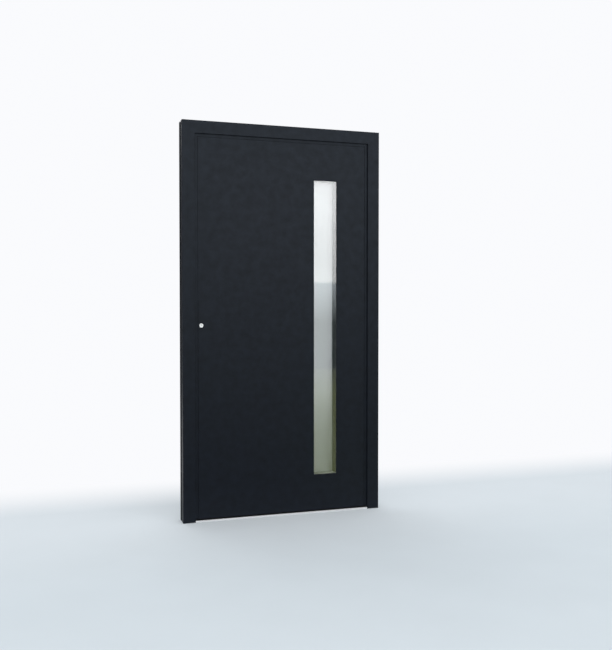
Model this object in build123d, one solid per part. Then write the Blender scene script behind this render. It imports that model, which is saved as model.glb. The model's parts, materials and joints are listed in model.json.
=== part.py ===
from build123d import *
import os

# An aluminium front door: a thermally broken frame and an inward-opening leaf with a narrow
# glazed slot. Millimetres. The origin is at floor level, in the middle of the frame's width
# and depth. +X is right seen from outside, +Y points into the house and +Z is up.

# Frame profile, with a stop lip on the outside that the leaf closes against
FRAME_WIDTH = 1100
FRAME_HEIGHT = 2100
FRAME_DEPTH = 90
FRAME_BODY = 46
LIP_WIDTH = 20
LIP_THICKNESS = 3
WALL = 2
EDGE_RADIUS = 1

# Thermal break, at the same depth in the frame and in the leaf
BREAK_FRONT = -6
BREAK_BACK = 20
BREAK_RECESS = 3
BREAK_WALL = 3
BREAK_JOINT = 0.2

# Stop gasket behind the lip
GASKET_START = 54
GASKET_WIDTH = 8
GASKET_HEIGHT = 1.5

# Threshold between the legs
NOSING_DEPTH = 10
NOSING_SETBACK = 2
NOSING_HEIGHT = 8
CORE_HEIGHT = 9
CORE_BACK = 14
RAIL_HEIGHT = 10
THRESHOLD_CHAMFER = 2
DRAIN_WIDTH = 3
DRAIN_DEPTH = 2

# Leaf
LEAF_SETBACK = 9.5
LEAF_GAP = 9.5
LEAF_BOTTOM = 15.5
LEAF_BAR = 70
BOTTOM_RAIL = 80
BORDER = 26
GROOVE = 2
SKIN = 3

# Glazed slot and its sealed unit of three panes
SLOT_LEFT = 172
SLOT_WIDTH = 131
SLOT_BOTTOM = 210.5
SLOT_HEIGHT = 1608.5
GLASS_LAP = 12
PANE = 6
TRIM_WIDTH = 20
TRIM_THICKNESS = 3

# Lock and inside lever
LOCK_X = -450
LOCK_Z = 1034
CYLINDER_RADIUS = 10
CYLINDER_CLEARANCE = 0.2
COLLAR_RADIUS = 11
COLLAR_THICKNESS = 2
KEYWAY_WIDTH = 2.4
KEYWAY_HEIGHT = 11
KEYWAY_DEPTH = 12
ROSETTE_RADIUS = 26
ROSETTE_THICKNESS = 8
ROSETTE_BEVEL = 2
LEVER_RISE = 92
LEVER_RADIUS = 9.5
LEVER_REACH = 55
LEVER_LENGTH = 130
LEVER_END_BEVEL = 1.5

# Lock strip in the leaf's edge and strike plates in the jamb
STRIP_WIDTH = 24
STRIP_BOTTOM = 180
STRIP_TOP = 1900
BOLT_WIDTH = 14
BOLT_HEIGHT = 36
BOLT_PLAY = 0.5
BOLT_HEIGHTS = (420, 1040, 1150, 1700)
STRIKE_MARGIN = 45
STRIKE_WINDOW_PLAY = 4

# Hinges on the inside of the right jamb
HINGE_HEIGHTS = (260, 1050, 1840)
HINGE_OFFSET = 12
HINGE_LENGTH = 120
KNUCKLE_RADIUS = 11
KNUCKLE_MIDDLE = 48
KNUCKLE_GAP = 1
WING_NEAR = 16
WING_FAR = 42
WING_THICKNESS = 5
PIN_RADIUS = 5
PIN_FIT = 0.02
PIN_RUNNING_FIT = 0.05
PIN_CAP = 4

# Holes for frame screws, through the inner chambers of both jambs
SCREW_HOLE_RADIUS = 4
SCREW_HEIGHTS = (150, 750, 1350, 1950)

# Places worked out from the dimensions above
FRAME_HALF = FRAME_WIDTH / 2
OUTSIDE = -FRAME_DEPTH / 2
INSIDE = FRAME_DEPTH / 2
LIP_BACK = OUTSIDE + LIP_THICKNESS
FRAME_FACE = FRAME_BODY + LIP_WIDTH
REBATE_HALF = FRAME_HALF - FRAME_BODY
LEAF_FRONT = OUTSIDE + LEAF_SETBACK
LEAF_HALF = REBATE_HALF - LEAF_GAP
LEAF_TOP = FRAME_HEIGHT - FRAME_BODY - LEAF_GAP
SKIN_START = BORDER + GROOVE
CORE_HALF = LEAF_HALF - LEAF_BAR
CAVITY = (INSIDE - LEAF_FRONT - 2 * SKIN - 3 * PANE) / 2
LEVER_Z = LOCK_Z + LEVER_RISE
HINGE_X = REBATE_HALF
HINGE_Y = INSIDE + HINGE_OFFSET


def block(x, y, z):
    """A box between two limits on each axis."""
    size = [high - low for low, high in (x, y, z)]
    middle = [(high + low) / 2 for low, high in (x, y, z)]
    return Pos(*middle) * Box(*size)


def outline(*points):
    """A face with straight sides."""
    return make_face(Polyline(*points, close=True))


def hollow(face, wall):
    """An extrusion's section: the face with one chamber inside it."""
    return face - offset(face, amount=-wall, kind=Kind.INTERSECTION)


def bar(section, start, inward, length):
    """An extruded bar. Its section is drawn as distance from the bar's edge against depth."""
    along = Vector(inward).cross(Vector(0, 1, 0))
    return extrude(Plane(origin=start, x_dir=inward, z_dir=along) * section, amount=length)


def three_sides(section, half, bottom, top, joint=0):
    """Lock side, hinge side and top bars of one section, mitred at the upper corners."""
    lock_side = bar(section, (-half, 0, bottom), (1, 0, 0), top - bottom)
    hinge_side = bar(section, (half, 0, top), (-1, 0, 0), top - bottom)
    top_side = bar(section, (-half, 0, top), (0, 0, -1), 2 * half)
    lock_mitre = Plane(origin=(-half, 0, top), z_dir=(-1, 0, -1))
    hinge_mitre = Plane(origin=(half, 0, top), z_dir=(1, 0, -1))
    lock_side = split(lock_side, lock_mitre.offset(joint / 2), Keep.TOP)
    hinge_side = split(hinge_side, hinge_mitre.offset(joint / 2), Keep.TOP)
    top_side = split(top_side, lock_mitre.offset(-joint / 2), Keep.BOTTOM)
    top_side = split(top_side, hinge_mitre.offset(-joint / 2), Keep.BOTTOM)
    return lock_side, hinge_side, top_side


def slot_block(margin, y):
    """A block over the glazed slot, wider than it all round by the margin."""
    x = (SLOT_LEFT - margin, SLOT_LEFT + SLOT_WIDTH + margin)
    z = (SLOT_BOTTOM - margin, SLOT_BOTTOM + SLOT_HEIGHT + margin)
    return block(x, y, z)


def slot_ring(margin, y):
    """A rectangular ring round the glazed slot."""
    return slot_block(margin, y) - slot_block(0, y)


def rod(radius, y, x=LOCK_X, z=LOCK_Z):
    """A round bar along the leaf's thickness."""
    low, high = y
    return Pos(x, (low + high) / 2, z) * Rot(90, 0, 0) * Cylinder(radius, high - low)


def frame_outer_section():
    """The outer chamber, with the stop lip rounded where it shows."""
    face = outline(
        (0, OUTSIDE),
        (FRAME_FACE, OUTSIDE),
        (FRAME_FACE, LIP_BACK),
        (FRAME_BODY, LIP_BACK),
        (FRAME_BODY, BREAK_FRONT),
        (0, BREAK_FRONT),
    )
    chamber = outline(
        (WALL, OUTSIDE + WALL),
        (FRAME_BODY - WALL, OUTSIDE + WALL),
        (FRAME_BODY - WALL, BREAK_FRONT - WALL),
        (WALL, BREAK_FRONT - WALL),
    )
    lip_corners = face.vertices().group_by(Axis.X)[-1]
    return fillet(lip_corners, EDGE_RADIUS) - chamber


def frame_inner_section():
    """The inner chamber."""
    face = outline((0, BREAK_BACK), (FRAME_BODY, BREAK_BACK), (FRAME_BODY, INSIDE), (0, INSIDE))
    return hollow(face, WALL)


def break_section(width):
    """The plastic thermal break, set back from both edges of its bar."""
    near, far = BREAK_RECESS, width - BREAK_RECESS
    face = outline((near, BREAK_FRONT), (far, BREAK_FRONT), (far, BREAK_BACK), (near, BREAK_BACK))
    return hollow(face, BREAK_WALL)


def gasket_section():
    """A half-round bulb on a flat foot."""
    low, high = GASKET_START, GASKET_START + GASKET_WIDTH
    foot = LIP_BACK + GASKET_HEIGHT / 2
    bulb = ThreePointArc((high, foot), ((low + high) / 2, LIP_BACK + GASKET_HEIGHT), (low, foot))
    sides = Polyline((low, foot), (low, LIP_BACK), (high, LIP_BACK), (high, foot))
    return make_face([bulb, sides])


def make_frame():
    """Jambs and head in their three layers, and the gasket that runs round behind the lip."""
    nodes = {}
    layers = {
        "outer": frame_outer_section(),
        "break": break_section(FRAME_BODY),
        "inner": frame_inner_section(),
    }
    members = ("frame_lock_jamb", "frame_hinge_jamb", "frame_head")
    for layer, section in layers.items():
        bars = three_sides(section, FRAME_HALF, 0, FRAME_HEIGHT)
        for member, solid in zip(members, bars):
            nodes[f"{member}_{layer}"] = solid
    for member, side in zip(members, (-1, 1)):
        nodes[f"{member}_inner"] -= screw_holes(side)
    gaskets = three_sides(gasket_section(), FRAME_HALF, RAIL_HEIGHT, FRAME_HEIGHT)
    nodes["frame_gasket"] = gaskets[0] + gaskets[1] + gaskets[2]
    return nodes


def screw_holes(side):
    """Drills for the frame screws of one jamb."""
    drill = Rot(0, 90, 0) * Cylinder(SCREW_HOLE_RADIUS, FRAME_BODY + 2 * WALL)
    x = side * (FRAME_HALF - FRAME_BODY / 2)
    y = (BREAK_BACK + INSIDE) / 2
    return [Pos(x, y, z) * drill for z in SCREW_HEIGHTS]


def make_threshold():
    """Nosing, plastic core with drain grooves, and inner rail, each laid along the floor."""
    nose_front = OUTSIDE + NOSING_SETBACK
    nose_back = nose_front + NOSING_DEPTH
    bevel = THRESHOLD_CHAMFER
    nosing = outline(
        (nose_front, 0),
        (nose_front, NOSING_HEIGHT - bevel),
        (nose_front + bevel, NOSING_HEIGHT),
        (nose_back, NOSING_HEIGHT),
        (nose_back, 0),
    )
    core = outline((nose_back, 0), (nose_back, CORE_HEIGHT), (CORE_BACK, CORE_HEIGHT), (CORE_BACK, 0))
    groove = Rectangle(DRAIN_WIDTH, 2 * DRAIN_DEPTH)
    for share in (1 / 3, 2 / 3):
        core -= Pos(nose_back + share * (CORE_BACK - nose_back), CORE_HEIGHT) * groove
    rail = outline(
        (CORE_BACK, 0),
        (CORE_BACK, RAIL_HEIGHT),
        (INSIDE - bevel, RAIL_HEIGHT),
        (INSIDE, RAIL_HEIGHT - bevel),
        (INSIDE, 0),
    )
    across = Plane(origin=(0, 0, 0), x_dir=(0, 1, 0), z_dir=(1, 0, 0))
    lip_half = FRAME_HALF - FRAME_FACE
    return {
        "threshold_nosing": extrude(across * nosing, amount=lip_half, both=True),
        "threshold_core": extrude(across * core, amount=REBATE_HALF, both=True),
        "threshold_inner_rail": extrude(across * hollow(rail, WALL), amount=REBATE_HALF, both=True),
    }


def leaf_shell_section(face_y, break_y):
    """One aluminium half of a leaf bar. Its face is stepped back for the leaf's skin."""
    inward = 1 if break_y > face_y else -1
    step = face_y + inward * SKIN
    face = outline(
        (0, face_y),
        (BORDER, face_y),
        (BORDER, step),
        (LEAF_BAR, step),
        (LEAF_BAR, break_y),
        (0, break_y),
    )
    return hollow(face, WALL)


def bottom_rail_section(face_y, break_y):
    """One aluminium half of the bottom rail, which the skins cover."""
    inward = 1 if break_y > face_y else -1
    step = face_y + inward * SKIN
    return hollow(outline((0, step), (BOTTOM_RAIL, step), (BOTTOM_RAIL, break_y), (0, break_y)), WALL)


def bottom_bar(section, joint=0):
    """The bottom rail, between the stiles."""
    start = (CORE_HALF - joint, 0, LEAF_BOTTOM)
    return bar(section, start, (0, 0, 1), 2 * (CORE_HALF - joint))


def make_leaf_bars():
    """Stiles, top rail and bottom rail in their layers, drilled for the lock cylinder."""
    nodes = {}
    members = ("leaf_lock_stile", "leaf_hinge_stile", "leaf_top_rail")
    faces = {"outer": (LEAF_FRONT, BREAK_FRONT), "inner": (INSIDE, BREAK_BACK)}
    drill = rod(CYLINDER_RADIUS + CYLINDER_CLEARANCE, (LEAF_FRONT - SKIN, INSIDE + SKIN))
    for layer, (face_y, break_y) in faces.items():
        section = leaf_shell_section(face_y, break_y)
        for member, solid in zip(members, three_sides(section, LEAF_HALF, LEAF_BOTTOM, LEAF_TOP)):
            nodes[f"{member}_{layer}"] = solid
        nodes[f"leaf_bottom_rail_{layer}"] = bottom_bar(bottom_rail_section(face_y, break_y))
        nodes[f"leaf_lock_stile_{layer}"] -= drill
    section = break_section(LEAF_BAR)
    breaks = three_sides(section, LEAF_HALF, LEAF_BOTTOM, LEAF_TOP, BREAK_JOINT)
    lock_break, hinge_break, top_break = breaks
    bottom_break = bottom_bar(break_section(BOTTOM_RAIL))
    nodes["leaf_thermal_breaks"] = Compound([lock_break - drill, hinge_break, top_break, bottom_break])
    return nodes


def make_leaf_panel():
    """The two skins and the insulating core, cut through for the glazed slot."""
    skin_half = LEAF_HALF - SKIN_START
    x, z = (-skin_half, skin_half), (LEAF_BOTTOM, LEAF_TOP - SKIN_START)
    through = (LEAF_FRONT - SKIN, INSIDE + SKIN)
    drill = rod(CYLINDER_RADIUS + CYLINDER_CLEARANCE, through)
    slot = slot_block(0, through)
    core_x, core_z = (-CORE_HALF, CORE_HALF), (LEAF_BOTTOM + BOTTOM_RAIL, LEAF_TOP - LEAF_BAR)
    core = block(core_x, (LEAF_FRONT + SKIN, INSIDE - SKIN), core_z)
    return {
        "leaf_outer_skin": block(x, (LEAF_FRONT, LEAF_FRONT + SKIN), z) - slot - drill,
        "leaf_inner_skin": block(x, (INSIDE - SKIN, INSIDE), z) - slot - drill,
        "leaf_insulating_core": core - slot_block(GLASS_LAP, through),
    }


def make_glazing():
    """Three panes and two spacer frames between the skins, and the trim on the inside."""
    nodes = {}
    front = LEAF_FRONT + SKIN
    for name in ("outer", "middle", "inner"):
        nodes[f"glazing_{name}_pane"] = slot_block(GLASS_LAP, (front, front + PANE))
        front += PANE
        if name != "inner":
            nodes[f"glazing_{name}_spacer"] = slot_ring(GLASS_LAP, (front, front + CAVITY))
            front += CAVITY
    trim = slot_ring(TRIM_WIDTH, (INSIDE, INSIDE + TRIM_THICKNESS))
    face_edges = trim.faces().sort_by(Axis.Y)[-1].outer_wire().edges()
    nodes["glazing_inside_trim"] = chamfer(face_edges, EDGE_RADIUS)
    return nodes


def make_cylinder():
    """Round lock cylinder with a collar on the outer skin and a keyway at each end."""
    front = LEAF_FRONT - COLLAR_THICKNESS
    back = INSIDE + ROSETTE_THICKNESS + EDGE_RADIUS
    collar = rod(COLLAR_RADIUS, (front, LEAF_FRONT))
    rim = collar.faces().sort_by(Axis.Y)[0].edges()
    body = chamfer(rim, EDGE_RADIUS / 2) + rod(CYLINDER_RADIUS, (LEAF_FRONT, back))
    x = (LOCK_X - KEYWAY_WIDTH / 2, LOCK_X + KEYWAY_WIDTH / 2)
    z = (LOCK_Z - KEYWAY_HEIGHT / 2, LOCK_Z + KEYWAY_HEIGHT / 2)
    for y in ((front, front + KEYWAY_DEPTH), (back - KEYWAY_DEPTH, back)):
        body -= block(x, y, z)
    return body


def rosette(z):
    """A round rose on the inner skin, with a bevelled rim."""
    plate = rod(ROSETTE_RADIUS, (INSIDE, INSIDE + ROSETTE_THICKNESS), z=z)
    return chamfer(plate.faces().sort_by(Axis.Y)[-1].edges(), ROSETTE_BEVEL)


def make_lever():
    """Round bar, mitred at the elbow between its neck and its level grip."""
    neck = (LOCK_X, INSIDE + ROSETTE_THICKNESS, LEVER_Z)
    elbow = (LOCK_X, INSIDE + LEVER_REACH, LEVER_Z)
    tip = (LOCK_X + LEVER_LENGTH, INSIDE + LEVER_REACH, LEVER_Z)
    section = Plane(origin=neck, z_dir=(0, 1, 0)) * Circle(LEVER_RADIUS)
    lever = sweep(section, path=Polyline(neck, elbow, tip), transition=Transition.RIGHT)
    return chamfer(lever.faces().sort_by(Axis.X)[-1].edges(), LEVER_END_BEVEL)


def lock_strip(x, z, windows, play):
    """A flat strip in the lock side's thermal break, with a window at each bolt."""
    middle = (BREAK_FRONT + BREAK_BACK) / 2
    strip = block(x, (middle - STRIP_WIDTH / 2, middle + STRIP_WIDTH / 2), z)
    for height in windows:
        strip -= bolt(x, height, play)
    return strip


def bolt(x, height, play=0):
    """A bolt's head, level with the strip that it sits in."""
    middle = (BREAK_FRONT + BREAK_BACK) / 2
    half_width = BOLT_WIDTH / 2 + play
    half_height = BOLT_HEIGHT / 2 + play
    y = (middle - half_width, middle + half_width)
    return block(x, y, (height - half_height, height + half_height))


def make_lock():
    """Cylinder, inside fittings, lock strip with its bolts, and the strike plates."""
    edge = (-LEAF_HALF, -LEAF_HALF + BREAK_RECESS)
    jamb = (-REBATE_HALF - BREAK_RECESS, -REBATE_HALF)
    lower, dead, latch, upper = BOLT_HEIGHTS
    plates = []
    for windows in ((lower,), (dead, latch), (upper,)):
        z = (windows[0] - STRIKE_MARGIN, windows[-1] + STRIKE_MARGIN)
        plates.append(lock_strip(jamb, z, windows, STRIKE_WINDOW_PLAY))
    through = rod(CYLINDER_RADIUS + CYLINDER_CLEARANCE, (INSIDE, INSIDE + 2 * ROSETTE_THICKNESS))
    return {
        "lock_cylinder": make_cylinder(),
        "cylinder_rosette": rosette(LOCK_Z) - through,
        "lever_rosette": rosette(LEVER_Z),
        "inside_lever": make_lever(),
        "lock_faceplate": lock_strip(edge, (STRIP_BOTTOM, STRIP_TOP), BOLT_HEIGHTS, BOLT_PLAY),
        "lock_bolts": Compound([bolt(edge, height) for height in BOLT_HEIGHTS]),
        "strike_plates": Compound(plates),
    }


def hinge_wing(side, bore):
    """One hinge half over its full length: a knuckle that tapers into a flat wing."""
    knuckle = Pos(HINGE_X, HINGE_Y) * Circle(KNUCKLE_RADIUS)
    wing_x = HINGE_X + side * (WING_NEAR + WING_FAR) / 2
    wing = Pos(wing_x, INSIDE + WING_THICKNESS / 2) * Rectangle(WING_FAR - WING_NEAR, WING_THICKNESS)
    section = make_hull(knuckle.edges() + wing.edges())
    section -= Pos(HINGE_X, HINGE_Y) * Circle(bore)
    return extrude(section, amount=HINGE_LENGTH / 2, both=True)


def knuckle_room(side, z):
    """The space that the other half's knuckle takes up."""
    x = sorted((HINGE_X + side * WING_NEAR, HINGE_X - side * WING_FAR))
    return block(x, (INSIDE - KNUCKLE_RADIUS, HINGE_Y + 2 * KNUCKLE_RADIUS), z)


def hinge_pin():
    """A pin with a flat cap at each end."""
    cap = Pos(0, 0, (HINGE_LENGTH + PIN_CAP) / 2) * Cylinder(KNUCKLE_RADIUS, PIN_CAP)
    cap = chamfer(cap.faces().sort_by(Axis.Z)[-1].edges(), EDGE_RADIUS)
    pin = Cylinder(PIN_RADIUS, HINGE_LENGTH) + cap + mirror(cap, Plane.XY)
    return Pos(HINGE_X, HINGE_Y, 0) * pin


def make_hinges():
    """Frame halves with two knuckles, leaf halves with one between them, and the pins."""
    nodes = {}
    end = HINGE_LENGTH / 2
    middle = KNUCKLE_MIDDLE / 2
    frame_half = hinge_wing(1, PIN_RADIUS + PIN_FIT)
    frame_half -= knuckle_room(1, (-middle - KNUCKLE_GAP, middle + KNUCKLE_GAP))
    leaf_half = hinge_wing(-1, PIN_RADIUS + PIN_RUNNING_FIT)
    leaf_half -= knuckle_room(-1, (-end, -middle))
    leaf_half -= knuckle_room(-1, (middle, end))
    for name, height in zip(("lower", "middle", "upper"), HINGE_HEIGHTS):
        nodes[f"hinge_{name}_frame_half"] = Pos(0, 0, height) * frame_half
        nodes[f"hinge_{name}_leaf_half"] = Pos(0, 0, height) * leaf_half
    nodes["hinge_pins"] = Compound([Pos(0, 0, height) * hinge_pin() for height in HINGE_HEIGHTS])
    return nodes


def make_door():
    """Every piece of the door, by name."""
    nodes = make_frame() | make_threshold() | make_leaf_bars() | make_leaf_panel()
    return nodes | make_glazing() | make_lock() | make_hinges()


os.makedirs("parts", exist_ok=True)
for name, solid in make_door().items():
    export_step(solid, f"parts/{name}.step")
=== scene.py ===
import json
import math

import bmesh
import bpy
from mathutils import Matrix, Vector


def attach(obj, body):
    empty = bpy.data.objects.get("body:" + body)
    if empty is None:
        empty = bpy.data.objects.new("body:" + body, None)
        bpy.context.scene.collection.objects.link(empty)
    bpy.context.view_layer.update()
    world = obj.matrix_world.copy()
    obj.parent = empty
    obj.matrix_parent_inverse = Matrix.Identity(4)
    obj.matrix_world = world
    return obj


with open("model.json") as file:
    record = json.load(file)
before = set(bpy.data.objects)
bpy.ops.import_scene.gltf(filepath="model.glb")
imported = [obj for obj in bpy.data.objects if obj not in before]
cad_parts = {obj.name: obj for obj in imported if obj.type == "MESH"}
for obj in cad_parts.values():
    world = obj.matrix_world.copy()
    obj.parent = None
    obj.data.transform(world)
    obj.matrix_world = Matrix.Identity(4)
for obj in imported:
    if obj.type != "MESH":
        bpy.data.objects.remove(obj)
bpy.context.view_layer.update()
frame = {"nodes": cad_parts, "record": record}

MM = 0.001
NODES = frame["nodes"]

# Directions, seen from outside the door
LEFT = (-1, 0, 0)
RIGHT = (1, 0, 0)
OUTWARD = (0, -1, 0)
INWARD = (0, 1, 0)
UP = (0, 0, 1)
DOWN = (0, 0, -1)

# Places of the lock and the lever, in metres
LOCK_X = -0.450
CYLINDER_Z = 1.034
LEVER_Z = 1.126

# A noise texture keeps mostly between these two values
NOISE_LOW = 0.25
NOISE_HIGH = 0.75


# Node helpers

def new_material(name):
    """Gives a new material, its node tree and its main shader."""
    made = bpy.data.materials.new(name)
    made.use_nodes = True
    tree = made.node_tree
    return made, tree, tree.nodes["Principled BSDF"]


def link(tree, source, target):
    tree.links.new(source, target)


def object_place(tree):
    return tree.nodes.new("ShaderNodeTexCoord").outputs["Object"]


def separate_axes(tree, vector):
    made = tree.nodes.new("ShaderNodeSeparateXYZ")
    link(tree, vector, made.inputs["Vector"])
    return made.outputs


def stretched(tree, place, scale):
    made = tree.nodes.new("ShaderNodeMapping")
    made.inputs["Scale"].default_value = scale
    link(tree, place, made.inputs["Vector"])
    return made.outputs["Vector"]


def noise(tree, place, scale, detail=2.0, roughness=0.5):
    made = tree.nodes.new("ShaderNodeTexNoise")
    made.inputs["Scale"].default_value = scale
    made.inputs["Detail"].default_value = detail
    made.inputs["Roughness"].default_value = roughness
    link(tree, place, made.inputs["Vector"])
    return made.outputs["Fac"]


def spread(tree, value, low, high):
    """Turns a noise into a number from low to high."""
    made = tree.nodes.new("ShaderNodeMapRange")
    made.inputs["From Min"].default_value = NOISE_LOW
    made.inputs["From Max"].default_value = NOISE_HIGH
    made.inputs["To Min"].default_value = low
    made.inputs["To Max"].default_value = high
    link(tree, value, made.inputs["Value"])
    return made.outputs["Result"]


def between(tree, value, first, second):
    """Turns a noise, or a value from 0 to 1, into a colour from first to second."""
    made = tree.nodes.new("ShaderNodeValToRGB")
    made.color_ramp.elements[0].position = NOISE_LOW
    made.color_ramp.elements[0].color = (*first, 1.0)
    made.color_ramp.elements[1].position = NOISE_HIGH
    made.color_ramp.elements[1].color = (*second, 1.0)
    link(tree, value, made.inputs["Fac"])
    return made.outputs["Color"]


def smooth_step(tree, value, low, high, top=1.0):
    """Rises smoothly from 0 to top while the value goes from low to high."""
    made = tree.nodes.new("ShaderNodeMapRange")
    made.interpolation_type = "SMOOTHSTEP"
    made.inputs["From Min"].default_value = low
    made.inputs["From Max"].default_value = high
    made.inputs["To Max"].default_value = top
    link(tree, value, made.inputs["Value"])
    return made.outputs["Result"]


def larger(tree, first, second):
    made = tree.nodes.new("ShaderNodeMath")
    made.operation = "MAXIMUM"
    link(tree, first, made.inputs[0])
    link(tree, second, made.inputs[1])
    return made.outputs["Value"]


def vector_math(tree, operation, vector, other=None):
    made = tree.nodes.new("ShaderNodeVectorMath")
    made.operation = operation
    link(tree, vector, made.inputs[0])
    if other is not None:
        made.inputs[1].default_value = other
    return made.outputs


def mixed_shader(tree, factor, first, second):
    made = tree.nodes.new("ShaderNodeMixShader")
    link(tree, factor, made.inputs["Fac"])
    link(tree, first, made.inputs[1])
    link(tree, second, made.inputs[2])
    return made.outputs["Shader"]


def bumped(tree, height, strength, distance):
    made = tree.nodes.new("ShaderNodeBump")
    made.inputs["Strength"].default_value = strength
    made.inputs["Distance"].default_value = distance
    link(tree, height, made.inputs["Height"])
    return made.outputs["Normal"]


def dress(tree, shader, colour, rough, normal):
    link(tree, colour, shader.inputs["Base Color"])
    link(tree, rough, shader.inputs["Roughness"])
    link(tree, normal, shader.inputs["Normal"])


# Colours of the materials, in pairs that a noise runs between
COAT_DARK = (0.0024, 0.0033, 0.0056)
COAT_LIGHT = (0.0060, 0.0083, 0.0140)
ANODISED_DARK = (0.70, 0.705, 0.71)
ANODISED_LIGHT = (0.79, 0.795, 0.80)
RAIL_DARK = (0.50, 0.505, 0.51)
RAIL_LIGHT = (0.60, 0.605, 0.61)
STEEL_DARK = (0.50, 0.50, 0.49)
STEEL_LIGHT = (0.60, 0.60, 0.59)
NICKEL_DARK = (0.62, 0.63, 0.63)
NICKEL_LIGHT = (0.72, 0.73, 0.73)
BLACK = (0.008, 0.008, 0.009)
SOOT = (0.016, 0.016, 0.017)
SPACER_DARK = (0.055, 0.058, 0.060)
SPACER_LIGHT = (0.080, 0.083, 0.085)
# Painted light from above, and dust, on faces that look up
PAINTED_LIGHT_AND_DUST_DARK = (0.27, 0.275, 0.26)
PAINTED_LIGHT_AND_DUST_LIGHT = (0.35, 0.355, 0.34)
FOAM_DARK = (0.66, 0.60, 0.44)
FOAM_LIGHT = (0.76, 0.70, 0.54)
CLEAR_DARK = (0.972, 0.979, 0.976)
CLEAR_LIGHT = (0.982, 0.989, 0.986)
SATIN_DARK = (0.715, 0.728, 0.736)
SATIN_LIGHT = (0.745, 0.758, 0.766)

# Tints of the coat's gloss and of the light that clear panes let through
COAT_TINT = (0.86, 0.94, 1.0, 1.0)
CLEAR_SHADOW = (0.90, 0.93, 0.92, 1.0)

# Scales of the streaks along each axis, which are longest where the scale is smallest
DRAWN_ALONG_X = (4.0, 900.0, 900.0)
BRUSHED_ALONG_X = (6.0, 1200.0, 1200.0)
BRUSHED_ALONG_Z = (1200.0, 1200.0, 6.0)

# Scale and detail of the rings on turned metal, and the plane that they lie in
TURNED_SCALE = 2200.0
TURNED_DETAIL = 3.0
TURNED_PLANE = (1.0, 0.0, 1.0)

# Gloss, share of the mottle in the coat's tone, and how the panes bend and pass light
COAT_GLOSS = 0.167
COAT_MOTTLE_SHARE = 0.75
PLASTIC_GLOSS = 0.2
SPACER_GLOSS = 0.15
COATED_INDEX = 1.8
PLAIN_INDEX = 1.3
SATIN_INDEX = 1.5
SATIN_TRANSMISSION = 0.7

# Upward part of a face's direction at which painted light and dust begin, and at which they are full
PAINTED_LIGHT_AND_DUST_START = 0.5
PAINTED_LIGHT_AND_DUST_FULL = 0.9


# Materials

def powder_coat():
    """A dark matte coat with a fine grain and a faint wide mottle."""
    made, tree, shader = new_material("powder_coat")
    place = object_place(tree)
    grain = noise(tree, place, scale=1150.0, detail=3.0, roughness=0.6)
    mottle = noise(tree, place, scale=24.0, detail=3.0, roughness=0.6)
    tone = tree.nodes.new("ShaderNodeMix")
    tone.inputs["Factor"].default_value = COAT_MOTTLE_SHARE
    link(tree, grain, tone.inputs["A"])
    link(tree, mottle, tone.inputs["B"])
    colour = between(tree, tone.outputs["Result"], COAT_DARK, COAT_LIGHT)
    rough = spread(tree, mottle, low=0.53, high=0.45)
    normal = bumped(tree, grain, strength=0.35, distance=0.2 * MM)
    dress(tree, shader, colour, rough, normal)
    shader.inputs["Specular IOR Level"].default_value = COAT_GLOSS
    shader.inputs["Specular Tint"].default_value = COAT_TINT
    return made


def streaked(name, scale, first, second, smooth, rough):
    """A metal with straight streaks."""
    made, tree, shader = new_material(name)
    place = stretched(tree, object_place(tree), scale)
    streaks = noise(tree, place, scale=1.0, detail=4.0, roughness=0.65)
    colour = between(tree, streaks, first, second)
    normal = bumped(tree, streaks, strength=0.12, distance=0.1 * MM)
    dress(tree, shader, colour, spread(tree, streaks, smooth, rough), normal)
    shader.inputs["Metallic"].default_value = 1.0
    return made


def turned(name, centre_z, first, second, smooth, rough):
    """A metal with fine rings round an axis through the door at the lock's line."""
    made, tree, shader = new_material(name)
    away = vector_math(tree, "SUBTRACT", object_place(tree), (LOCK_X, 0.0, centre_z))["Vector"]
    across = vector_math(tree, "MULTIPLY", away, TURNED_PLANE)["Vector"]
    radius = vector_math(tree, "LENGTH", across)["Value"]
    rings = tree.nodes.new("ShaderNodeTexNoise")
    rings.noise_dimensions = "1D"
    rings.inputs["Scale"].default_value = TURNED_SCALE
    rings.inputs["Detail"].default_value = TURNED_DETAIL
    link(tree, radius, rings.inputs["W"])
    ring = rings.outputs["Fac"]
    colour = between(tree, ring, first, second)
    normal = bumped(tree, ring, strength=0.15, distance=0.1 * MM)
    dress(tree, shader, colour, spread(tree, ring, smooth, rough), normal)
    shader.inputs["Metallic"].default_value = 1.0
    return made


def moulded(name, first, second, smooth, rough, scale, depth, gloss=0.5):
    """A plastic, rubber or foam with a fine grain."""
    made, tree, shader = new_material(name)
    grain = noise(tree, object_place(tree), scale, detail=3.0, roughness=0.6)
    colour = between(tree, grain, first, second)
    normal = bumped(tree, grain, strength=0.3, distance=depth)
    dress(tree, shader, colour, spread(tree, grain, smooth, rough), normal)
    shader.inputs["Specular IOR Level"].default_value = gloss
    return made


def paint_light_and_dust_upward(made, first, second):
    """Lightens the faces of a material that look up: painted light from above, and dust."""
    tree = made.node_tree
    base = tree.nodes["Principled BSDF"].inputs["Base Color"]
    clean = base.links[0].from_socket
    specks = noise(tree, object_place(tree), scale=400.0, detail=3.0, roughness=0.6)
    facing = separate_axes(tree, tree.nodes.new("ShaderNodeNewGeometry").outputs["Normal"])
    mix = tree.nodes.new("ShaderNodeMix")
    mix.data_type = "RGBA"
    # Painted light and dust: the more a face looks up, the lighter it turns
    link(tree, smooth_step(tree, facing["Z"], PAINTED_LIGHT_AND_DUST_START, PAINTED_LIGHT_AND_DUST_FULL), mix.inputs["Factor"])
    link(tree, clean, mix.inputs["A"])
    link(tree, between(tree, specks, first, second), mix.inputs["B"])
    link(tree, mix.outputs["Result"], base)


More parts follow.
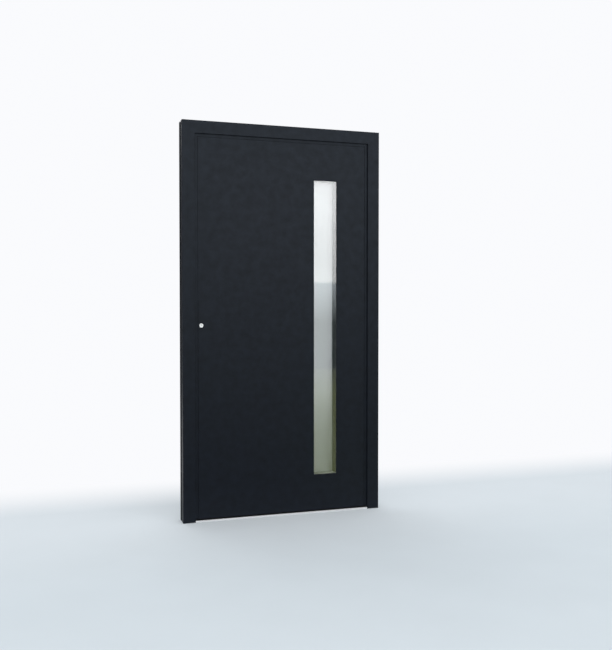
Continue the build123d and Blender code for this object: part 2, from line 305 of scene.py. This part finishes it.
def clear_glass(name, index):
    """A clear pane with a faint wave, which casts only a slight tint as its shadow."""
    made, tree, shader = new_material(name)
    wave = noise(tree, object_place(tree), scale=3.0, detail=1.0)
    link(tree, between(tree, wave, CLEAR_DARK, CLEAR_LIGHT), shader.inputs["Base Color"])
    link(tree, spread(tree, wave, low=0.0, high=0.01), shader.inputs["Roughness"])
    shader.inputs["Transmission Weight"].default_value = 1.0
    shader.inputs["IOR"].default_value = index
    path = tree.nodes.new("ShaderNodeLightPath")
    tint = tree.nodes.new("ShaderNodeBsdfTransparent")
    tint.inputs["Color"].default_value = CLEAR_SHADOW
    shown = mixed_shader(tree, path.outputs["Is Shadow Ray"], shader.outputs["BSDF"], tint.outputs["BSDF"])
    link(tree, shown, tree.nodes["Material Output"].inputs["Surface"])
    return made


def satin_glass():
    """An etched pane that scatters what is behind it."""
    made, tree, shader = new_material("satin_glass")
    place = object_place(tree)
    etch = noise(tree, place, scale=2400.0, detail=2.0, roughness=0.6)
    cloud = noise(tree, place, scale=14.0, detail=2.0)
    colour = between(tree, cloud, SATIN_DARK, SATIN_LIGHT)
    rough = spread(tree, etch, low=0.27, high=0.37)
    normal = bumped(tree, etch, strength=0.25, distance=0.1 * MM)
    dress(tree, shader, colour, rough, normal)
    shader.inputs["Transmission Weight"].default_value = SATIN_TRANSMISSION
    shader.inputs["IOR"].default_value = SATIN_INDEX
    return made


ANODISED = streaked(
    "anodised_aluminium", DRAWN_ALONG_X, ANODISED_DARK, ANODISED_LIGHT, smooth=0.42, rough=0.56)
PLASTIC = moulded(
    "black_plastic", BLACK, SOOT, smooth=0.50, rough=0.65, scale=1500.0, depth=0.1 * MM, gloss=PLASTIC_GLOSS)
RUBBER = moulded("black_rubber", BLACK, SOOT, smooth=0.62, rough=0.80, scale=2200.0, depth=0.1 * MM)
STEEL = streaked("brushed_steel", BRUSHED_ALONG_Z, STEEL_DARK, STEEL_LIGHT, smooth=0.24, rough=0.38)
NICKEL = turned("nickel", CYLINDER_Z, NICKEL_DARK, NICKEL_LIGHT, smooth=0.20, rough=0.34)
FOAM = moulded("insulation", FOAM_DARK, FOAM_LIGHT, smooth=0.8, rough=0.95, scale=700.0, depth=0.6 * MM)
RAIL = streaked("anodised_rail", DRAWN_ALONG_X, RAIL_DARK, RAIL_LIGHT, smooth=0.50, rough=0.64)
LEVER_STEEL = streaked(
    "brushed_steel_lever", BRUSHED_ALONG_X, STEEL_DARK, STEEL_LIGHT, smooth=0.22, rough=0.36)
CYLINDER_STEEL = turned(
    "turned_steel_cylinder", CYLINDER_Z, STEEL_DARK, STEEL_LIGHT, smooth=0.22, rough=0.36)
ROSETTE_STEEL = turned("turned_steel_lever", LEVER_Z, STEEL_DARK, STEEL_LIGHT, smooth=0.22, rough=0.36)
SPACER = moulded(
    "spacer_plastic", SPACER_DARK, SPACER_LIGHT,
    smooth=0.50, rough=0.65, scale=1500.0, depth=0.1 * MM, gloss=SPACER_GLOSS)
# The spacers' upward faces get painted light from above, and dust
paint_light_and_dust_upward(SPACER, PAINTED_LIGHT_AND_DUST_DARK, PAINTED_LIGHT_AND_DUST_LIGHT)

# Materials by the record's slots, and for the nodes that differ from their slot
SLOT_MATERIALS = {
    "powder_coat": powder_coat(),
    "anodised_aluminium": ANODISED,
    "black_plastic": PLASTIC,
    "black_rubber": RUBBER,
    "clear_glass": clear_glass("coated_clear_glass", COATED_INDEX),
    "satin_glass": satin_glass(),
    "brushed_steel": STEEL,
    "nickel": NICKEL,
    "insulation": FOAM,
}
NODE_MATERIALS = {
    "threshold_inner_rail": RAIL,
    "glazing_outer_spacer": SPACER,
    "glazing_middle_spacer": SPACER,
    "glazing_middle_pane": clear_glass("plain_clear_glass", PLAIN_INDEX),
    "inside_lever": LEVER_STEEL,
    "cylinder_rosette": CYLINDER_STEEL,
    "lever_rosette": ROSETTE_STEEL,
}

for part in frame["record"]["subparts"]:
    chosen = NODE_MATERIALS.get(part["node"], SLOT_MATERIALS[part["material_slot"]])
    for holder in NODES[part["node"]].material_slots:
        holder.material = chosen


# Places of the small fittings, in metres
LEAF_EDGE = -0.4945
JAMB_EDGE = 0.504
LOCK_STRIP_Y = 0.007
FRAME_SCREW_Y = 0.0325
FRAME_SCREW_HEIGHTS = (0.150, 0.750, 1.350, 1.950)
STRIP_SCREW_HEIGHTS = (0.200, 0.560, 0.900, 1.290, 1.560, 1.880)
STRIKE_SCREW_HEIGHTS = (0.3865, 0.4535, 1.0065, 1.0950, 1.1835, 1.6665, 1.7335)
HINGE_HEIGHTS = (0.260, 1.050, 1.840)
HINGE_SCREW_OFFSETS = (-0.040, 0.0, 0.040)
HINGE_X = 0.504
HINGE_SCREW_REACH = 0.029
HINGE_SCREW_Y = 0.0559
RAIL_TOP = 0.010
RAIL_SCREW_Y = 0.0295
RAIL_SCREW_PLACES = (-0.440, -0.150, 0.150, 0.440)
CYLINDER_FRONT = -0.0375
CYLINDER_BACK = 0.054
ROSETTE_FACE = 0.053
GRUB_SCREW_Y = 0.066
LEVER_RADIUS = 0.0095

# Direction that a hinge wing's slope faces, across the door and into the house
HINGE_SLOPE_ACROSS = 0.4136
HINGE_SLOPE_INWARD = 0.9105

# Sizes of the small fittings
SCREW_RADIUS = 4.2 * MM
SCREW_PROUD = 0.5 * MM
STRIKE_SCREW_PROUD = 0.3 * MM
RAIL_SCREW_RADIUS = 4.5 * MM
RAIL_SCREW_PROUD = 0.35 * MM
GRUB_SCREW_RADIUS = 2.6 * MM
GRUB_SCREW_PROUD = 0.4 * MM
CAP_RADIUS = 7.0 * MM
CAP_PROUD = 0.5 * MM
PLUG_RING_INNER = 6.4 * MM
PLUG_RING_OUTER = 7.4 * MM
PLUG_RING_HEIGHT = 0.35 * MM
COLLAR_INNER = 9.4 * MM
COLLAR_OUTER = 13.0 * MM
COLLAR_HEIGHT = 4.0 * MM
SUNK = -0.2 * MM

# Outlines from the foot up: share of the radius, how far the lobes stand out, share of the height.
# The screw is a countersunk head with a six-lobed recess.
# The cap is a flat plug with a rounded rim and a small dimple to lift it by.
SCREW_OUTLINE = ((1.0, 0.0, 0.4), (0.88, 0.0, 1.0), (0.50, 0.12, 1.0), (0.44, 0.12, 0.2))
CAP_OUTLINE = ((1.0, 0.0, 0.5), (0.93, 0.0, 0.9), (0.80, 0.0, 1.0), (0.22, 0.0, 1.0), (0.16, 0.0, 0.4))
RING_RIM = 0.6
RING_SHOULDER = 0.92

SIDES = 24
LOBES = 6
WELD_DISTANCE = 1e-7
SHARP_ANGLE = 35.0


# Small fittings

def turned_form(form, place, axis, rows):
    """Adds rings of faces round an axis. A row has a radius, how far its lobes stand out, and a height."""
    axis = Vector(axis).normalized()
    across = axis.orthogonal().normalized()
    upward = axis.cross(across)
    rings = []
    for radius, lobe, height in rows:
        ring = []
        for step in range(SIDES):
            turn = 2 * math.pi * step / SIDES
            reach = radius * (1 + lobe * math.cos(LOBES * turn))
            out = reach * (math.cos(turn) * across + math.sin(turn) * upward)
            ring.append(form.verts.new(Vector(place) + out + height * axis))
        rings.append(ring)
    for low, high in zip(rings, rings[1:]):
        for step in range(SIDES):
            after = (step + 1) % SIDES
            form.faces.new((low[step], low[after], high[after], high[step]))
    return rings


def capped_form(form, place, axis, rows):
    """Adds a form that is closed by its first and last ring."""
    rings = turned_form(form, place, axis, rows)
    form.faces.new(list(reversed(rings[0])))
    form.faces.new(rings[-1])


def looped_form(form, place, axis, rows):
    """Adds a form whose last ring is joined to its first."""
    turned_form(form, place, axis, rows + rows[:1])
    bmesh.ops.remove_doubles(form, verts=form.verts, dist=WELD_DISTANCE)


def head_rows(outline, radius, proud):
    """The rows of a screw head or cap, which starts just below the face that it sits on."""
    foot = [(radius, 0.0, SUNK)]
    return foot + [(share * radius, lobe, rise * proud) for share, lobe, rise in outline]


def ring_rows(inner, outer, height):
    """The rows of a ring with a rounded top."""
    middle = (inner + outer) / 2
    rim = RING_RIM * height
    shoulder = RING_SHOULDER * height
    return [
        (inner, 0.0, SUNK),
        (outer, 0.0, SUNK),
        (outer, 0.0, rim),
        ((middle + outer) / 2, 0.0, shoulder),
        (middle, 0.0, height),
        ((middle + inner) / 2, 0.0, shoulder),
        (inner, 0.0, rim),
    ]


def fitting(name, body, material, places, axis, rows, build=capped_form):
    """Makes one piece of equal small forms, which rides on a body."""
    form = bmesh.new()
    for place in places:
        build(form, place, axis, rows)
    mesh = bpy.data.meshes.new(name)
    bmesh.ops.recalc_face_normals(form, faces=form.faces)
    form.to_mesh(mesh)
    form.free()
    mesh.shade_smooth()
    mesh.set_sharp_from_angle(angle=math.radians(SHARP_ANGLE))
    mesh.materials.append(material)
    made = bpy.data.objects.new(name, mesh)
    bpy.context.scene.collection.objects.link(made)
    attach(made, body)


strip_screws = [(LEAF_EDGE, LOCK_STRIP_Y, z) for z in STRIP_SCREW_HEIGHTS]
strike_screws = [(-JAMB_EDGE, LOCK_STRIP_Y, z) for z in STRIKE_SCREW_HEIGHTS]
rail_screws = [(x, RAIL_SCREW_Y, RAIL_TOP) for x in RAIL_SCREW_PLACES]
screw_head = head_rows(SCREW_OUTLINE, SCREW_RADIUS, SCREW_PROUD)
strike_screw_head = head_rows(SCREW_OUTLINE, SCREW_RADIUS, STRIKE_SCREW_PROUD)
rail_screw_head = head_rows(SCREW_OUTLINE, RAIL_SCREW_RADIUS, RAIL_SCREW_PROUD)
fitting("lock_strip_screws", "leaf", STEEL, strip_screws, LEFT, screw_head)
fitting("strike_plate_screws", "frame", STEEL, strike_screws, RIGHT, strike_screw_head)
fitting("threshold_screws", "frame", STEEL, rail_screws, UP, rail_screw_head)

hinge_screw_heights = [z + offset for z in HINGE_HEIGHTS for offset in HINGE_SCREW_OFFSETS]
for side, body in ((1, "frame"), (-1, "leaf")):
    wing_screws = [(HINGE_X + side * HINGE_SCREW_REACH, HINGE_SCREW_Y, z) for z in hinge_screw_heights]
    slope = (side * HINGE_SLOPE_ACROSS, HINGE_SLOPE_INWARD, 0)
    fitting(f"hinge_{body}_screws", body, STEEL, wing_screws, slope, screw_head)

cap_form = head_rows(CAP_OUTLINE, CAP_RADIUS, CAP_PROUD)
for side, jamb, facing in ((-1, "lock", RIGHT), (1, "hinge", LEFT)):
    jamb_caps = [(side * JAMB_EDGE, FRAME_SCREW_Y, z) for z in FRAME_SCREW_HEIGHTS]
    fitting(f"{jamb}_jamb_caps", "frame", PLASTIC, jamb_caps, facing, cap_form)

plug_ring = ring_rows(PLUG_RING_INNER, PLUG_RING_OUTER, PLUG_RING_HEIGHT)
for name, face, facing in (("outer", CYLINDER_FRONT, OUTWARD), ("inner", CYLINDER_BACK, INWARD)):
    plug = [(LOCK_X, face, CYLINDER_Z)]
    fitting(f"cylinder_{name}_plug_ring", "leaf", NICKEL, plug, facing, plug_ring, looped_form)

lever_neck = [(LOCK_X, ROSETTE_FACE, LEVER_Z)]
collar = ring_rows(COLLAR_INNER, COLLAR_OUTER, COLLAR_HEIGHT)
fitting("lever_collar", "leaf", ROSETTE_STEEL, lever_neck, INWARD, collar, looped_form)
grub_screw = [(LOCK_X, GRUB_SCREW_Y, LEVER_Z - LEVER_RADIUS)]
grub_screw_head = head_rows(SCREW_OUTLINE, GRUB_SCREW_RADIUS, GRUB_SCREW_PROUD)
fitting("lever_grub_screw", "leaf", STEEL, grub_screw, DOWN, grub_screw_head)


# Colours and light of the stage
FLOOR_COLOUR = (0.575, 0.615, 0.635)
FLOOR_VARIATION = 0.015
FLOOR_ROUGHNESS = 0.9
BACKGROUND = (0.955, 0.962, 0.985, 1.0)
THROUGH_GLASS = (0.025, 0.025, 0.006)
# Painted light: share of glow that lifts the floor's shade in front of the door
PAINTED_BOUNCE_SHARE = 0.13
WORLD_COLOUR = (0.93, 0.96, 1.0, 1.0)
SOFTBOX_COLOUR = (0.95, 0.98, 1.0)
HORIZON_LIGHT = 0.42
ZENITH_LIGHT = 1.32

# Extent of the floor, and where it changes, in metres from the door
FLOOR_HALF = 20.0
FLOOR_HEIGHT = -0.5 * MM
FADE_NEAR = 0.15
FADE_FAR = 1.1
# The painted light on the floor grows from far in front of the door up to the door
PAINTED_BOUNCE_NEAR = 0.1
PAINTED_BOUNCE_FAR = -1.1
RIM_NEAR = 4.0
RIM_FAR = 10.0
DIM_NEAR = 2.0
DIM_FAR = 8.2


# Stage

def upright(y, x_low, x_high, z_low, z_high):
    """The corners of an upright rectangle that faces along the door's depth."""
    return [(x_low, y, z_low), (x_high, y, z_low), (x_high, y, z_high), (x_low, y, z_high)]


def lying(z, x_low, x_high, y_low, y_high):
    """The corners of a level rectangle."""
    return [(x_low, y_low, z), (x_high, y_low, z), (x_high, y_high, z), (x_low, y_high, z)]


def stage_plane(name, corners, material):
    mesh = bpy.data.meshes.new(name)
    mesh.from_pydata(corners, [], [tuple(range(len(corners)))])
    made = bpy.data.objects.new(name, mesh)
    bpy.context.scene.collection.objects.link(made)
    made.data.materials.append(material)
    return made


def floor_material():
    """A pale floor with painted light near the door; it fades out behind it and far off, and is dim through
    glass.
    """
    made, tree, shader = new_material("studio_floor")
    place = object_place(tree)
    mottle = noise(tree, place, scale=3.0, detail=4.0)
    dark = tuple((1 - FLOOR_VARIATION) * c for c in FLOOR_COLOUR)
    light = tuple((1 + FLOOR_VARIATION) * c for c in FLOOR_COLOUR)
    link(tree, between(tree, mottle, dark, light), shader.inputs["Base Color"])
    shader.inputs["Roughness"].default_value = FLOOR_ROUGHNESS
    shader.inputs["Specular IOR Level"].default_value = 0.0
    distance = vector_math(tree, "LENGTH", place)["Value"]
    depth = separate_axes(tree, place)["Y"]
    behind = smooth_step(tree, depth, FADE_NEAR, FADE_FAR)
    rim = smooth_step(tree, distance, RIM_NEAR, RIM_FAR)
    # Painted light: a faint glow on the floor in front of the door, which lightens the door's shadow there
    painted_bounce = smooth_step(tree, depth, PAINTED_BOUNCE_FAR, PAINTED_BOUNCE_NEAR, PAINTED_BOUNCE_SHARE)
    fade = larger(tree, larger(tree, behind, rim), painted_bounce)
    glow = tree.nodes.new("ShaderNodeEmission")
    glow.inputs["Color"].default_value = BACKGROUND
    seen = mixed_shader(tree, fade, shader.outputs["BSDF"], glow.outputs["Emission"])
    dim = tree.nodes.new("ShaderNodeEmission")
    beyond = smooth_step(tree, distance, DIM_NEAR, DIM_FAR)
    link(tree, between(tree, beyond, THROUGH_GLASS, BACKGROUND[:3]), dim.inputs["Color"])
    path = tree.nodes.new("ShaderNodeLightPath")
    shown = mixed_shader(tree, path.outputs["Is Transmission Ray"], seen, dim.outputs["Emission"])
    link(tree, shown, tree.nodes["Material Output"].inputs["Surface"])
    return made


def set_world():
    """Soft light from all round, brighter from above, and a plain background for camera, gloss and glass."""
    world = bpy.data.worlds.new("studio")
    bpy.context.scene.world = world
    world.use_nodes = True
    tree = world.node_tree
    lit = tree.nodes["Background"]
    lit.inputs["Color"].default_value = WORLD_COLOUR
    direction = separate_axes(tree, tree.nodes.new("ShaderNodeTexCoord").outputs["Generated"])
    strength = tree.nodes.new("ShaderNodeMapRange")
    strength.inputs["To Min"].default_value = HORIZON_LIGHT
    strength.inputs["To Max"].default_value = ZENITH_LIGHT
    link(tree, direction["Z"], strength.inputs["Value"])
    link(tree, strength.outputs["Result"], lit.inputs["Strength"])
    seen = tree.nodes.new("ShaderNodeBackground")
    seen.inputs["Color"].default_value = BACKGROUND
    path = tree.nodes.new("ShaderNodeLightPath")
    through = larger(tree, path.outputs["Is Camera Ray"], path.outputs["Is Transmission Ray"])
    plain = larger(tree, through, path.outputs["Is Glossy Ray"])
    shown = mixed_shader(tree, plain, lit.outputs["Background"], seen.outputs["Background"])
    link(tree, shown, tree.nodes["World Output"].inputs["Surface"])


def softbox(name, place, target, width, height, radiance):
    """A wide soft lamp that the camera doesn't see."""
    light = bpy.data.lights.new(name, "AREA")
    light.shape = "RECTANGLE"
    light.size = width
    light.size_y = height
    light.energy = radiance * math.pi * width * height
    light.color = SOFTBOX_COLOUR
    made = bpy.data.objects.new(name, light)
    bpy.context.scene.collection.objects.link(made)
    made.location = place
    made.rotation_euler = (Vector(target) - Vector(place)).to_track_quat("-Z", "Y").to_euler()
    made.visible_camera = False


def card(name, corners, low_colour, high_colour, low=0.0, high=1.0, strength=1.0):
    """A glowing card that only gloss and glass show. Its colour changes with height, from low to high."""
    material = bpy.data.materials.new(name)
    material.use_nodes = True
    tree = material.node_tree
    tree.nodes.remove(tree.nodes["Principled BSDF"])
    glow = tree.nodes.new("ShaderNodeEmission")
    glow.inputs["Strength"].default_value = strength
    height = separate_axes(tree, object_place(tree))["Z"]
    rise = smooth_step(tree, height, low, high)
    link(tree, between(tree, rise, low_colour, high_colour), glow.inputs["Color"])
    link(tree, glow.outputs["Emission"], tree.nodes["Material Output"].inputs["Surface"])
    made = stage_plane(name, corners, material)
    made.visible_camera = False
    made.visible_diffuse = False
    made.visible_shadow = False
    return made


floor_corners = lying(0.0, -FLOOR_HALF, FLOOR_HALF, -FLOOR_HALF, FLOOR_HALF)
floor = stage_plane("studio_floor", floor_corners, floor_material())
floor.location.z = FLOOR_HEIGHT
set_world()
softbox(
    "front_softbox", place=(1.2, -6.5, 3.6), target=(1.2, 0.0, 3.6), width=9.0, height=4.4, radiance=2.2)
softbox(
    "back_softbox", place=(-1.2, 6.5, 3.2), target=(0.0, 0.0, 1.0), width=7.0, height=4.0, radiance=1.6)

# Colours of the cards
HIGH_SKY = (1.0, 1.01, 1.03)
LOW_SKY = (0.68, 0.69, 0.695)
SKYLINE = (0.32, 0.35, 0.37)
LOWER_LIGHT = (0.86, 0.94, 1.0)
LOWER_DARK = (0.045, 0.06, 0.06)
DUSK = (0.07, 0.075, 0.07)
GREEN = (0.36, 0.42, 0.18)
FAR_GREEN = (0.27, 0.305, 0.21)
HALL = (0.15, 0.15, 0.155)
SHADE = (0.05, 0.055, 0.06)
SKY_STRENGTH = 4.0
LOWER_STRENGTH = 1.6

# Places of the cards, in metres
FRONT_CARDS_Y = -6.0
FRONT_CARDS_LEFT = 1.3
FRONT_CARDS_RIGHT = 5.0
SKY_TOP = 3.4
SKY_FOOT = 1.46
SKYLINE_FOOT = 1.41
LOWER_FOOT = 0.295
GREEN_CORNERS = [(2.9, -10.5, 0.05), (4.6, -10.5, 0.05), (0.79, -0.3, 0.006), (0.32, -0.3, 0.006)]

# Cards in front of the door, one above the other
sky = upright(FRONT_CARDS_Y, FRONT_CARDS_LEFT, FRONT_CARDS_RIGHT, SKY_FOOT, SKY_TOP)
skyline = upright(FRONT_CARDS_Y, FRONT_CARDS_LEFT, FRONT_CARDS_RIGHT, SKYLINE_FOOT, SKY_FOOT)
lower = upright(FRONT_CARDS_Y, FRONT_CARDS_LEFT, FRONT_CARDS_RIGHT, LOWER_FOOT, SKYLINE_FOOT)
card("sky_card", sky, LOW_SKY, HIGH_SKY, low=0.9, high=3.2, strength=SKY_STRENGTH)
card("skyline_card", skyline, SKYLINE, LOW_SKY, low=1.363, high=1.507, strength=SKY_STRENGTH)
card("upright_card", lower, LOWER_DARK, LOWER_LIGHT, low=0.385, high=1.965, strength=LOWER_STRENGTH)

# Cards on the ground in front of the door
ground = lying(z=0.004, x_low=-9.0, x_high=9.0, y_low=-11.0, y_high=-0.3)
card("ground_card", ground, DUSK, DUSK)
card("green_card", GREEN_CORNERS, GREEN, FAR_GREEN, low=0.0128, high=0.0556)

# Cards behind the door: one that only glass shows and one that only gloss shows
hall = upright(y=3.0, x_low=-4.0, x_high=6.0, z_low=1.1, z_high=6.0)
hall_card = card("hall_card", hall, BACKGROUND[:3], HALL, low=0.9, high=2.2)
hall_card.visible_glossy = False
flag = upright(y=5.0, x_low=-4.5, x_high=-0.6, z_low=0.02, z_high=3.5)
back_flag = card("back_flag", flag, SHADE, SHADE)
back_flag.visible_transmission = False


# Camera of the photograph, in metres, degrees and millimetres
CAMERA_PLACE = (-1.2496, -4.2870, 1.1448)
CAMERA_RIGHT_TURN = 17.93
CAMERA_DOWN_TILT = 1.44
CAMERA_LENS = 45.41
CAMERA_SENSOR = 36.0


def set_camera():
    lens = bpy.data.cameras.new("photo_camera")
    lens.lens = CAMERA_LENS
    lens.sensor_width = CAMERA_SENSOR
    lens.sensor_fit = "AUTO"
    made = bpy.data.objects.new("photo_camera", lens)
    bpy.context.scene.collection.objects.link(made)
    made.location = CAMERA_PLACE
    made.rotation_euler = (math.radians(90.0 - CAMERA_DOWN_TILT), 0.0, math.radians(-CAMERA_RIGHT_TURN))
    bpy.context.scene.camera = made


set_camera()
bpy.context.scene.view_settings.view_transform = "Standard"

bpy.context.view_layer.update()
